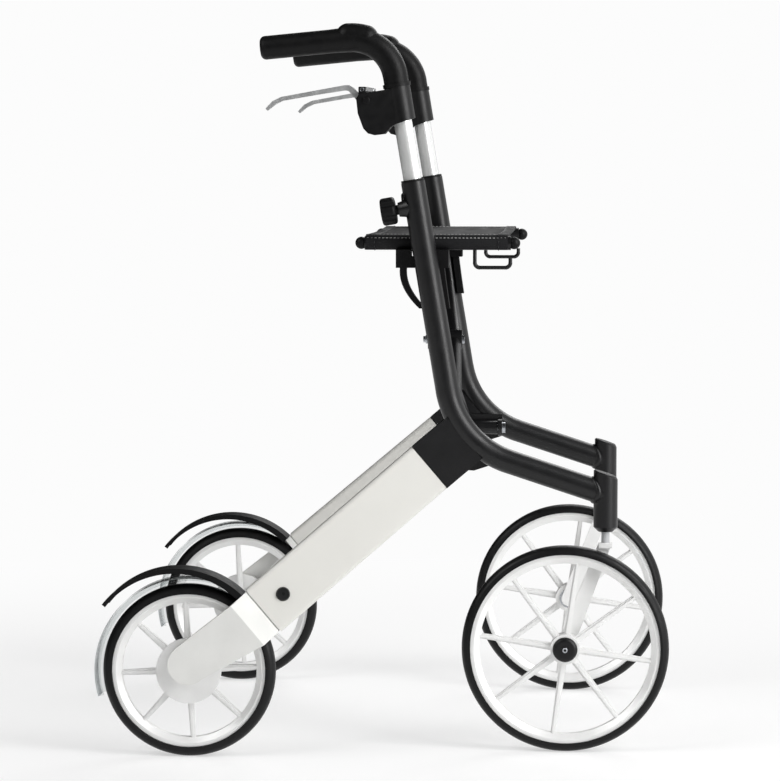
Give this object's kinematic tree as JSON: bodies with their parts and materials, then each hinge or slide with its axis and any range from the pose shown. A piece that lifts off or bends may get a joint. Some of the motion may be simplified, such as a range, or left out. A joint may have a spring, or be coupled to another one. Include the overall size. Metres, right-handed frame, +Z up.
{
  "type": "all-terrain rollator",
  "caption": "Folding outdoor rollator with large spoked wheels, swivelling front casters, splayed white rear legs, cloth seat on a crossed frame and height-adjustable handles with brake levers.",
  "frame": {"origin": "on the ground under the middle of the overall box", "axes": "+X forward, +Y to the user's left, +Z up"},
  "size_m": [0.686, 0.65, 0.8761],
  "materials": {
    "black_paint": "satin powder coat",
    "white_paint": "gloss",
    "pale_casting": "matt",
    "black_plastic": "satin",
    "clear_guard": "clear",
    "tyre": "matt",
    "rim_plastic": "satin silver",
    "chrome": "polished",
    "steel": "satin",
    "lever_alloy": "satin",
    "fork_alloy": "satin",
    "grip_rubber": "matt",
    "brake_block": "matt",
    "seat_fabric": "woven"
  },
  "bodies": {
    "right_frame": {"right_main_tube": "black_paint", "right_head_tube": "black_paint", "right_leg_socket": "black_paint", "right_leg": "white_paint", "right_leg_screw": "black_plastic", "right_wheel_arm": "pale_casting", "right_rear_axle": "steel", "right_mudguard": "black_plastic", "right_spray_guard": "clear_guard", "right_seat_saddle": "black_plastic", "right_tube_collar": "black_plastic", "right_pivot_bolt": "steel"},
    "left_frame": {"left_main_tube": "black_paint", "left_head_tube": "black_paint", "left_leg_socket": "black_paint", "left_leg": "white_paint", "left_leg_screw": "black_plastic", "left_wheel_arm": "pale_casting", "left_rear_axle": "steel", "left_mudguard": "black_plastic", "left_spray_guard": "clear_guard", "left_seat_saddle": "black_plastic", "left_tube_collar": "black_plastic", "left_pivot_bolt": "steel"},
    "brace_a": {"brace_a": "black_paint", "centre_bolt": "steel", "left_seat_rail": "black_paint", "left_rail_caps": "black_plastic", "left_bag_hook": "black_paint"},
    "brace_b": {"brace_b": "black_paint", "right_seat_rail": "black_paint", "right_rail_caps": "black_plastic", "right_bag_hook": "black_paint"},
    "seat": {"seat_cloth": "seat_fabric"},
    "right_handle": {"right_handle_tube": "chrome", "right_grip": "grip_rubber", "right_brake_housing": "black_plastic"},
    "right_lever": {"right_brake_lever": "lever_alloy"},
    "right_knob": {"right_height_knob": "black_plastic"},
    "right_shoe": {"right_brake_shoe": "brake_block"},
    "right_caster": {"right_fork": "fork_alloy"},
    "right_front_wheel": {"right_front_tyre": "tyre", "right_front_rim": "rim_plastic", "right_front_bearings": "steel", "right_front_hub_cap": "black_plastic"},
    "right_rear_wheel": {"right_rear_tyre": "tyre", "right_rear_rim": "rim_plastic"},
    "left_handle": {"left_handle_tube": "chrome", "left_grip": "grip_rubber", "left_brake_housing": "black_plastic"},
    "left_lever": {"left_brake_lever": "lever_alloy"},
    "left_knob": {"left_height_knob": "black_plastic"},
    "left_shoe": {"left_brake_shoe": "brake_block"},
    "left_caster": {"left_fork": "fork_alloy"},
    "left_front_wheel": {"left_front_tyre": "tyre", "left_front_rim": "rim_plastic", "left_front_bearings": "steel", "left_front_hub_cap": "black_plastic"},
    "left_rear_wheel": {"left_rear_tyre": "tyre", "left_rear_rim": "rim_plastic"}
  },
  "joints": [
    {"name": "frame_fold", "type": "hinge", "parent": "right_frame", "child": "brace_a", "pos_m": [0.09, -0.187, 0.356], "axis": [1, 0, 0], "range_deg": [0, 47.5], "deforming": ["seat_cloth"]},
    {"name": "cross_turn", "type": "hinge", "parent": "brace_a", "child": "brace_b", "pos_m": [0.06, 0, 0.484], "axis": [1, 0, 0], "range_deg": [-95, 0]},
    {"name": "left_frame_turn", "type": "hinge", "parent": "brace_b", "child": "left_frame", "pos_m": [0.09, 0.187, 0.356], "axis": [1, 0, 0], "range_deg": [0, 47.5]},
    {"name": "seat_turn", "type": "hinge", "parent": "brace_a", "child": "seat", "pos_m": [0.06, 0.187, 0.612], "axis": [1, 0, 0], "range_deg": [-47.5, 0]},
    {"name": "right_handle_height", "type": "slide", "parent": "right_frame", "child": "right_handle", "axis": [-0.165, 0, 0.9863], "range_m": [-0.055, 0.11]},
    {"name": "right_brake", "type": "hinge", "parent": "right_handle", "child": "right_lever", "pos_m": [-0.02212, -0.215, 0.78361], "axis": [0, 1, 0], "range_deg": [-18, 16], "stiffness_Nm_per_rad": 2},
    {"name": "right_height_knob", "type": "hinge", "parent": "right_frame", "child": "right_knob", "pos_m": [0.03795, -0.215, 0.65641], "axis": [-0.9863, 0, -0.165], "range_deg": [0, 360]},
    {"name": "right_brake_shoe", "type": "slide", "parent": "right_frame", "child": "right_shoe", "axis": [-0.7604, 0, -0.6494], "range_m": [0, 0.0013], "stiffness_N_per_m": 2000},
    {"name": "right_caster_swivel", "type": "hinge", "parent": "right_frame", "child": "right_caster", "pos_m": [0.2658, -0.215, 0.25], "axis": [0, 0, 1], "continuous": true},
    {"name": "right_front_wheel", "type": "hinge", "parent": "right_caster", "child": "right_front_wheel", "pos_m": [0.218, -0.229, 0.125], "axis": [0, 1, 0], "continuous": true},
    {"name": "right_rear_wheel", "type": "hinge", "parent": "right_frame", "child": "right_rear_wheel", "pos_m": [-0.2305, -0.288, 0.104], "axis": [0, 1, 0], "continuous": true},
    {"name": "left_handle_height", "type": "slide", "parent": "left_frame", "child": "left_handle", "axis": [-0.165, 0, 0.9863], "range_m": [-0.055, 0.11]},
    {"name": "left_brake", "type": "hinge", "parent": "left_handle", "child": "left_lever", "pos_m": [-0.02212, 0.215, 0.78361], "axis": [0, 1, 0], "range_deg": [-18, 16], "stiffness_Nm_per_rad": 2},
    {"name": "left_height_knob", "type": "hinge", "parent": "left_frame", "child": "left_knob", "pos_m": [0.03795, 0.215, 0.65641], "axis": [-0.9863, 0, -0.165], "range_deg": [0, 360]},
    {"name": "left_brake_shoe", "type": "slide", "parent": "left_frame", "child": "left_shoe", "axis": [-0.7604, 0, -0.6494], "range_m": [0, 0.0013], "stiffness_N_per_m": 2000},
    {"name": "left_caster_swivel", "type": "hinge", "parent": "left_frame", "child": "left_caster", "pos_m": [0.2658, 0.215, 0.25], "axis": [0, 0, 1], "continuous": true},
    {"name": "left_front_wheel", "type": "hinge", "parent": "left_caster", "child": "left_front_wheel", "pos_m": [0.218, 0.229, 0.125], "axis": [0, 1, 0], "continuous": true},
    {"name": "left_rear_wheel", "type": "hinge", "parent": "left_frame", "child": "left_rear_wheel", "pos_m": [-0.2305, 0.288, 0.104], "axis": [0, 1, 0], "continuous": true}
  ],
  "couplings": [
    {"joint": "cross_turn", "follows": "frame_fold", "ratio": -2},
    {"joint": "left_frame_turn", "follows": "frame_fold", "ratio": 1},
    {"joint": "seat_turn", "follows": "frame_fold", "ratio": -1}
  ]
}
